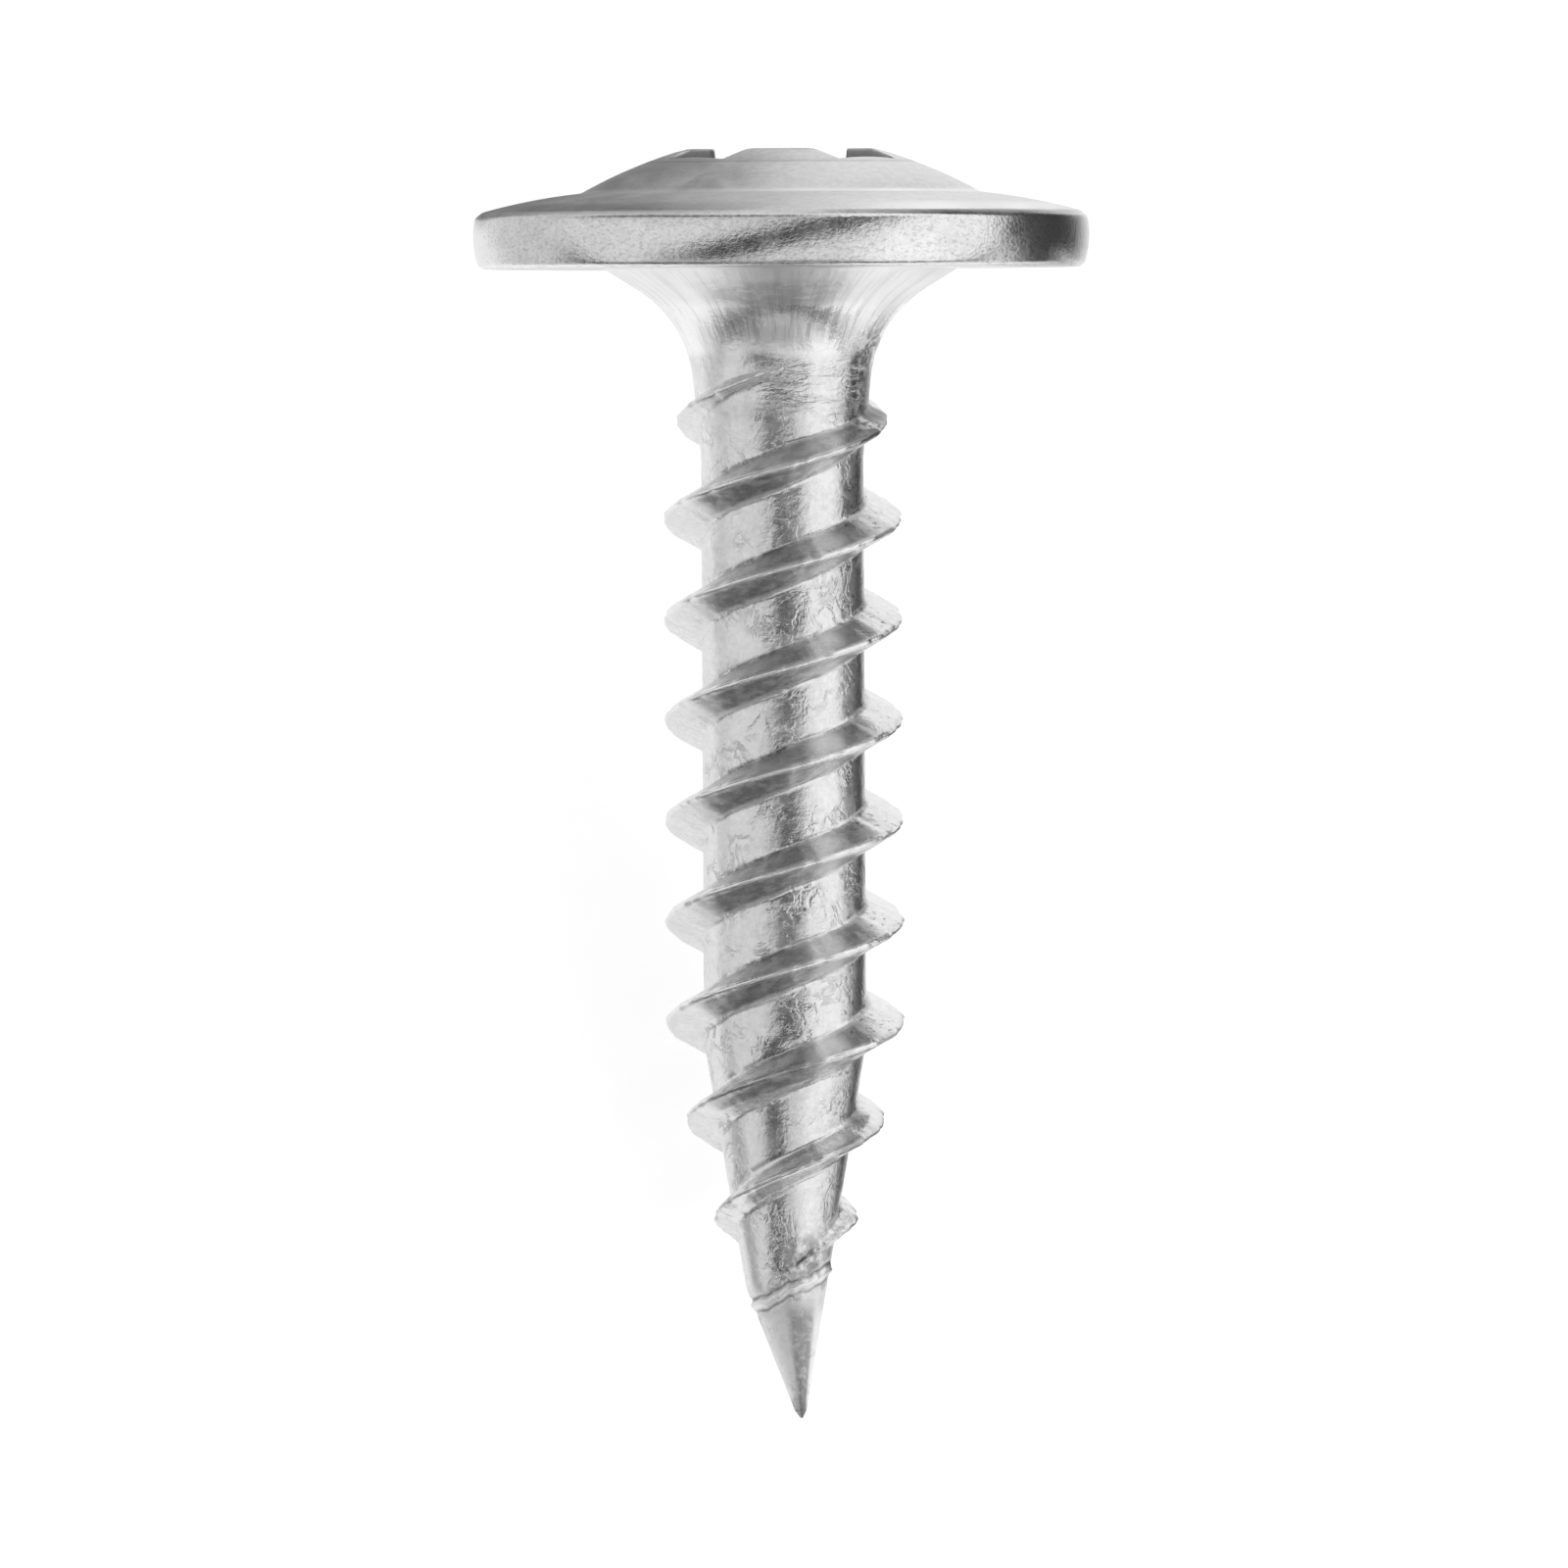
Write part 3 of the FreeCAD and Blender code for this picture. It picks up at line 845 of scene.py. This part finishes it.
def zinc_tone(nodes, place, zones, grains):
    """How light the zinc is: cloudy and speckled, bright where rubbed or a highlight is painted, dark in
    its marks and its painted shade and dark reflections.
    """
    tone = nodes.sum_of(
        nodes.product(grains["cloud"], 0.45),
        nodes.product(grains["pebble"], 0.35),
        nodes.product(grains["fine"], 0.2),
    )
    light = nodes.span(tone, 0.38, 0.62, DULL_ZINC, BRIGHT_ZINC, False)
    # Brighter towards rubbed wear and painted highlights.
    to_highlight = nodes.math("SUBTRACT", WEAR_AND_HIGHLIGHT_ZINC, light)
    light = nodes.math("ADD", light, nodes.product(to_highlight, wear_and_highlight_share(nodes, zones)))
    # Darkening tints: real marks, painted shade and painted dark reflections.
    tints = (
        *neck_tints(nodes, place, zones, grains),
        *head_tints(nodes, place, zones, grains),
        *core_tints(nodes, zones, grains),
        *flank_tints(nodes, place, zones),
        *point_tints(nodes, place, zones, grains),
    )
    for share, left_over in tints:
        light = nodes.product(light, nodes.span(share, 0.0, 1.0, 1.0, left_over, False))
    return nodes.joined(light, light, light)


def degrees_from_near(nodes, x, near):
    """The angle round an axis, from the near side towards the right."""
    return nodes.product(nodes.math("ARCTAN2", x, near), DEGREES)


def place_below_crest(nodes, depth, turned):
    """How far a point lies below the nearest crest, in crest spacings."""
    quarter_turn = 90.0
    climb = nodes.product(nodes.math("SUBTRACT", turned, quarter_turn), STARTS / 360.0)
    down = nodes.math("DIVIDE", nodes.math("SUBTRACT", depth, FIRST_CREST_DEPTH), CREST_SPACING)
    in_thread = nodes.math("ADD", down, climb)
    return nodes.math("SUBTRACT", in_thread, nodes.math("ROUND", in_thread))


def place_below_fold(nodes, x, depth):
    """How far a point lies below the middle of the pinched lip."""
    waves = []
    for pace, height in PINCH_FOLD_WAVES:
        turn = nodes.math("ADD", nodes.product(x, pace), PINCH_FOLD_WAVE_START)
        waves.append(nodes.product(nodes.math("SINE", turn), height))
    return nodes.sum_of(depth, -PINCH_FOLD_DEPTH, nodes.product(x, PINCH_FOLD_SLOPE), *waves)


def zinc_zones(nodes, place):
    """Where on the screw a point lies: its place, its angle from the near side, and the finish's zones."""
    x, y, height = nodes.parts(place)
    depth = nodes.product(height, -1.0)
    near = nodes.product(y, -1.0)
    turned = degrees_from_near(nodes, x, near)
    radius = nodes.math("SQRT", nodes.math("ADD", nodes.product(x, x), nodes.product(y, y)))
    lean = nodes.product(nodes.math("SUBTRACT", LENGTH, depth), math.tan(POINT_LEAN))
    x_on_point = nodes.sum_of(x, -POINT_OFFSET, lean)
    head = nodes.span(height, -0.1, 0.0)
    dome = nodes.span(height, 0.86, 0.98)
    return {
        "x": x,
        "y": y,
        "height": height,
        "depth": depth,
        "radius": radius,
        "turned": turned,
        "turned_on_point": degrees_from_near(nodes, x_on_point, near),
        "below_crest": place_below_crest(nodes, depth, turned),
        "fold": place_below_fold(nodes, x, depth),
        "head": head,
        "dome": dome,
        "rim": nodes.product(nodes.math("SUBTRACT", head, dome), nodes.span(radius, 5.0, 5.2)),
        "flange_top": nodes.product(dome, nodes.span(radius, 4.5, 4.9)),
        "underside": nodes.product(
            nodes.band(height, -0.04, 0.04, 0.01),
            nodes.band(radius, 3.15, 5.2, 0.06),
        ),
        "neck": nodes.band(depth, 0.55, 1.4, 0.3),
        "shank": nodes.span(depth, 1.4, 2.0),
    }


def rolling_folds(nodes, place, zones):
    """Curled lines on the core, where the rolling folded the steel, in patches."""
    patch = nodes.span(nodes.noise(place, 1.4, 3.0), 0.44, 0.62)
    curl = nodes.noise(place, 1.9, 4.0, 0.6, 0.7)
    line = nodes.span(nodes.math("ABSOLUTE", nodes.math("SUBTRACT", curl, 0.5)), 0.0, 0.06, 1.0, 0.0)
    core = nodes.span(zones["radius"], 1.52, 1.44)
    return nodes.product(line, patch, zones["shank"], core)


def zinc_grains(nodes, place, zones):
    """The patterns of the surface: clouds, grain, pebbles, lumps, folds, striae and turned lines."""
    rings_to_a_millimetre = 16.0
    striae_round = 21.0
    ring_place = nodes.joined(nodes.product(zones["radius"], rings_to_a_millimetre),
                              nodes.product(zones["height"], rings_to_a_millimetre), 0.0)
    outwards = nodes.math("DIVIDE", striae_round, zones["radius"])
    striae_place = nodes.joined(nodes.product(zones["x"], outwards),
                                nodes.product(zones["y"], outwards),
                                nodes.product(zones["height"], 0.9))
    burr_place = nodes.stretch(place, (1.6, 1.6, 7.5))
    burr_zone = within(nodes, zones, depth=(1.6, 2.55, 0.15), turned=(-12.0, 75.0, 10.0))
    return {
        "cloud": nodes.noise(place, 1.3, 4.0, 0.6, 0.4),
        "fine": nodes.noise(place, 26.0, 3.0, 0.6),
        "pebble": nodes.noise(place, 9.0, 3.0, 0.55),
        "lumps": nodes.noise(place, 3.2, 4.0, 0.55, 0.6),
        "folds": rolling_folds(nodes, place, zones),
        "striae": nodes.noise(striae_place, 1.0, 3.0, 0.6),
        "rings": nodes.noise(ring_place, 1.0, 2.0, 0.5),
        "rim": nodes.noise(nodes.stretch(place, (11.0, 11.0, 20.0)), 1.0, 3.0, 0.6),
        "burr": nodes.product(nodes.noise(burr_place, 1.0, 3.0, 0.6, 0.8), burr_zone),
    }


def zinc_height(nodes, zones, grains):
    """The height of the surface's bumps in millimetres."""
    head_share = nodes.span(zones["head"], 0.0, 1.0, 1.0, HEAD_BUMP_SHARE, False)
    fine = nodes.span(zones["dome"], 0.0, 1.0, FINE_BUMP, FINE_BUMP_ON_DOME, False)
    turned = nodes.math("MAXIMUM", zones["dome"], zones["underside"])
    return nodes.sum_of(
        nodes.product(grains["fine"], fine),
        nodes.product(grains["rim"], zones["rim"], RIM_BUMP),
        nodes.product(grains["pebble"], PEBBLE_BUMP, head_share),
        nodes.product(grains["pebble"], nodes.span(zones["depth"], 17.9, 18.3), POINT_BUMP),
        nodes.product(grains["lumps"], LUMP_BUMP, head_share),
        nodes.product(grains["folds"], FOLD_BUMP),
        nodes.product(grains["striae"], zones["neck"], STRIAE_BUMP),
        nodes.product(grains["rings"], turned, TURNED_BUMP),
        nodes.product(grains["burr"], BURR_BUMP),
    )


def zinc_roughness(nodes, zones, grains):
    """The plating's roughness: cloudy, smoother on the rim and rougher on the dome, flare and point."""
    return nodes.sum_of(
        nodes.span(grains["cloud"], 0.3, 0.7, SMOOTH_ZINC, CLOUDED_ZINC),
        nodes.product(zones["dome"], DOME_ROUGHNESS),
        nodes.product(zones["rim"], RIM_ROUGHNESS),
        nodes.product(nodes.span(zones["depth"], 17.4, 18.2), POINT_ROUGHNESS),
        nodes.product(within(nodes, zones, depth=(-0.02, 0.6, 0.1)), FLARE_ROUGHNESS),
    )


def zinc_material():
    """Bright zinc on rolled steel, with the marks of the forging and of the rolling, and painted shade,
    highlights and dark reflections.
    """
    material = bpy.data.materials.new("zinc_steel_plating")
    material.use_nodes = True
    nodes = Nodes(material.node_tree)
    place = screw_coordinates(nodes)
    zones = zinc_zones(nodes, place)
    grains = zinc_grains(nodes, place, zones)
    bump = nodes.add("ShaderNodeBump")
    bump.inputs["Distance"].default_value = MM
    bump.inputs["Strength"].default_value = 1.0
    nodes.feed(bump.inputs["Height"], zinc_height(nodes, zones, grains))
    shader = nodes.add("ShaderNodeBsdfPrincipled")
    nodes.feed(shader.inputs["Base Color"], zinc_tone(nodes, place, zones, grains))
    shader.inputs["Metallic"].default_value = 1.0
    nodes.feed(shader.inputs["Roughness"], zinc_roughness(nodes, zones, grains))
    nodes.feed(shader.inputs["Normal"], bump.outputs[0])
    output = nodes.add("ShaderNodeOutputMaterial")
    nodes.feed(output.inputs["Surface"], shader.outputs[0])
    return material


def add_screw():
    """The screw's plated surface, in place of the CAD solid."""
    surface = Surface()
    neck_ring = add_head(surface)
    add_shank(surface, neck_ring)
    piece = make_mesh("screw_surface", surface)
    piece.data.materials.append(zinc_material())
    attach(piece, "root")
    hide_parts("drywall_screw")


def card_shade(nodes):
    """Painted dark reflections: how dark the metal sees the table, black card beside, beyond and below the
    screw, white elsewhere.
    """
    to_millimetres = (1000.0, 1000.0, 1000.0)
    place = nodes.stretch(nodes.add("ShaderNodeTexCoord").outputs["Object"], to_millimetres)
    x, y, _ = nodes.parts(place)
    towards_head = nodes.span(y, -3.6, 6.7, 0.0, 1.35, False)
    towards_point = nodes.span(y, -3.6, -9.8, 0.0, -1.8, False)
    past_edge = nodes.math("SUBTRACT", x, nodes.sum_of(2.75, towards_head, towards_point))
    beside = nodes.product(
        nodes.span(past_edge, -0.3, 0.6),
        nodes.span(x, 16.0, 14.0),
        nodes.band(y, -8.5, 8.0, 0.7),
    )
    far = nodes.product(nodes.span(x, 12.0, 14.0), nodes.span(y, -2.0, 0.0))
    by_rim = nodes.product(nodes.span(x, 5.5, 11.0), nodes.span(y, 7.5, 9.0))
    beyond = nodes.product(
        nodes.span(x, -3.6, 2.4, 0.84, 0.05, False),
        nodes.span(x, -11.0, -9.0),
        nodes.band(y, 11.2, 60.0, 0.8),
    )
    left = nodes.product(nodes.span(x, -9.0, -13.0), 0.35)
    under = nodes.product(nodes.span(x, -3.0, -4.5), nodes.span(y, -5.5, -8.0), 0.6)
    below = nodes.span(y, -14.0, -17.0)
    return nodes.most_of(beside, far, by_rim, beyond, left, under, below)


def table_material():
    """The table's plain white. Glossy rays alone see soft-edged black cards painted on it, as dark
    reflections.
    """
    material = bpy.data.materials.new("white_table")
    material.use_nodes = True
    nodes = Nodes(material.node_tree)
    path = nodes.add("ShaderNodeLightPath")
    glossy = path.outputs["Is Glossy Ray"]
    mirrored = nodes.math("MAXIMUM", glossy, path.outputs["Is Transmission Ray"])
    seen = nodes.math("MAXIMUM", path.outputs["Is Camera Ray"], nodes.product(mirrored, GLOW_FOR_METAL))
    paint = nodes.add("ShaderNodeBsdfDiffuse")
    paint.inputs["Color"].default_value = grey(TABLE_PAINT)
    glow = nodes.add("ShaderNodeEmission")
    nodes.feed(glow.inputs["Strength"], nodes.product(seen, TABLE_GLOW))
    white = nodes.add_fed("ShaderNodeAddShader", paint.outputs[0], glow.outputs[0])
    card = nodes.add("ShaderNodeBsdfDiffuse")
    card.inputs["Color"].default_value = grey(CARD_PAINT)
    # Painted dark reflections: the cards show to glossy rays only.
    share = nodes.product(glossy, card_shade(nodes))
    table = nodes.add_fed("ShaderNodeMixShader", share, white.outputs[0], card.outputs[0])
    output = nodes.add("ShaderNodeOutputMaterial")
    nodes.feed(output.inputs["Surface"], table.outputs[0])
    return material


def add_table():
    """A plain white table."""
    reach = TABLE_REACH * MM
    mesh = bpy.data.meshes.new("table")
    corners = [(-reach, -reach, 0.0), (reach, -reach, 0.0), (reach, reach, 0.0), (-reach, reach, 0.0)]
    mesh.from_pydata(corners, [], [(0, 1, 2, 3)])
    mesh.materials.append(table_material())
    table = bpy.data.objects.new("table", mesh)
    bpy.context.scene.collection.objects.link(table)


def fins_material():
    """Plain white light for the fins."""
    material = bpy.data.materials.new("white_fins")
    material.use_nodes = True
    nodes = Nodes(material.node_tree)
    glow = nodes.add("ShaderNodeEmission")
    glow.inputs["Strength"].default_value = 1.0
    nodes.feed(nodes.add("ShaderNodeOutputMaterial").inputs["Surface"], glow.outputs[0])
    return material


def add_fins():
    """White fins on the card beside the screw, square to the screw's axis and seen by the metal alone.

    They stand edge-on to what the shank reflects, so it sees the card, and hide the card from the flare."""
    across, away, _ = screw_axes()
    near, far = (across * reach * MM for reach in FIN_ACROSS)
    points = []
    for depth in np.arange(*FIN_DEPTHS, FIN_SPACING):
        middle = PLACE @ (Vector((0.0, 0.0, -depth)) * MM)
        foot = middle - away * (middle.z / away.z)
        top = foot - away * FIN_HEIGHT * MM
        points += [foot + near, foot + far, top + far, top + near]
    faces = [tuple(range(corner, corner + 4)) for corner in range(0, len(points), 4)]
    mesh = bpy.data.meshes.new("fins")
    mesh.from_pydata(points, [], faces)
    mesh.materials.append(fins_material())
    fins = bpy.data.objects.new("fins", mesh)
    fins.visible_camera = False
    fins.visible_diffuse = False
    fins.visible_transmission = False
    fins.visible_shadow = False
    bpy.context.scene.collection.objects.link(fins)


def screw_axes():
    """Across the screw, away from the camera, and towards the head."""
    return [PLACE.col[i].xyz.normalized() for i in range(3)]


def studio_light(nodes, azimuth, elevation):
    """How bright the metal sees the studio, by the angles of a direction round and along the screw."""
    panel = nodes.product(nodes.band(azimuth, 32.0, 100.0, 8.0), nodes.band(elevation, -60.0, 80.0, 8.0))
    level = nodes.math("ADD", STUDIO_LEVEL, nodes.product(panel, PANEL_LEVEL))
    slanted = nodes.math("SUBTRACT", azimuth, nodes.product(elevation, STREAK_SLANT))
    streak = nodes.product(nodes.band(slanted, -13.0, 21.0, 7.0), nodes.band(elevation, -33.0, 30.0, 4.0))
    low_left = nodes.product(nodes.band(elevation, -67.0, -41.0, 5.0), nodes.span(azimuth, 58.0, 34.0))
    high_left = nodes.product(
        nodes.span(elevation, 15.0, 48.0, 0.0, 1.0, False),
        nodes.span(elevation, 72.0, 62.0),
        nodes.span(azimuth, 24.0, 2.0),
    )
    back_right = nodes.product(nodes.span(azimuth, 98.0, 108.0), nodes.span(elevation, 68.0, 60.0))
    for share, left_over in ((streak, 0.03), (low_left, 0.36), (high_left, 0.2), (back_right, 0.1)):
        level = nodes.product(level, nodes.span(share, 0.0, 1.0, 1.0, left_over, False))
    return level


def add_world():
    """A soft pale studio with a brighter panel on the right and dark bands. The camera sees it white."""
    world = bpy.data.worlds.new("studio")
    bpy.context.scene.world = world
    world.use_nodes = True
    nodes = Nodes(world.node_tree)
    across, away, up = screw_axes()
    way = nodes.add("ShaderNodeTexCoord").outputs["Generated"]
    azimuth = degrees_from_near(nodes, nodes.dot(way, across), nodes.dot(way, -away))
    elevation = nodes.product(nodes.math("ARCSINE", nodes.dot(way, up)), DEGREES)
    level = studio_light(nodes, azimuth, elevation)
    seen = nodes.add("ShaderNodeLightPath").outputs["Is Camera Ray"]
    shown = nodes.math("ADD", nodes.product(nodes.math("SUBTRACT", 1.0, seen), level), seen)
    background = nodes.add("ShaderNodeBackground")
    background.inputs["Color"].default_value = grey(1.0)
    nodes.feed(background.inputs["Strength"], shown)
    output = nodes.add("ShaderNodeOutputWorld")
    nodes.feed(output.inputs["Surface"], background.outputs[0])


def add_camera():
    """A long lens that looks straight at the screw's side, the head at the top of the picture."""
    across, away, up = screw_axes()
    target = PLACE @ (Vector((0.0, 0.0, -CAMERA_MIDDLE_DEPTH)) * MM)
    data = bpy.data.cameras.new("camera")
    data.sensor_width = 36.0
    data.lens = data.sensor_width * CAMERA_DISTANCE / (CAMERA_VIEW_WIDTH * MM)
    data.clip_start = 0.01
    data.clip_end = 10.0
    camera = bpy.data.objects.new("camera", data)
    roll = Matrix.Rotation(CAMERA_ROLL, 3, away)
    turn = roll @ Matrix((across, up, -away)).transposed()
    camera.matrix_world = Matrix.Translation(target - away * CAMERA_DISTANCE) @ turn.to_4x4()
    bpy.context.scene.collection.objects.link(camera)
    bpy.context.scene.camera = camera


add_camera()
add_world()
add_table()
add_fins()
add_screw()
bpy.context.scene.view_settings.view_transform = "Standard"
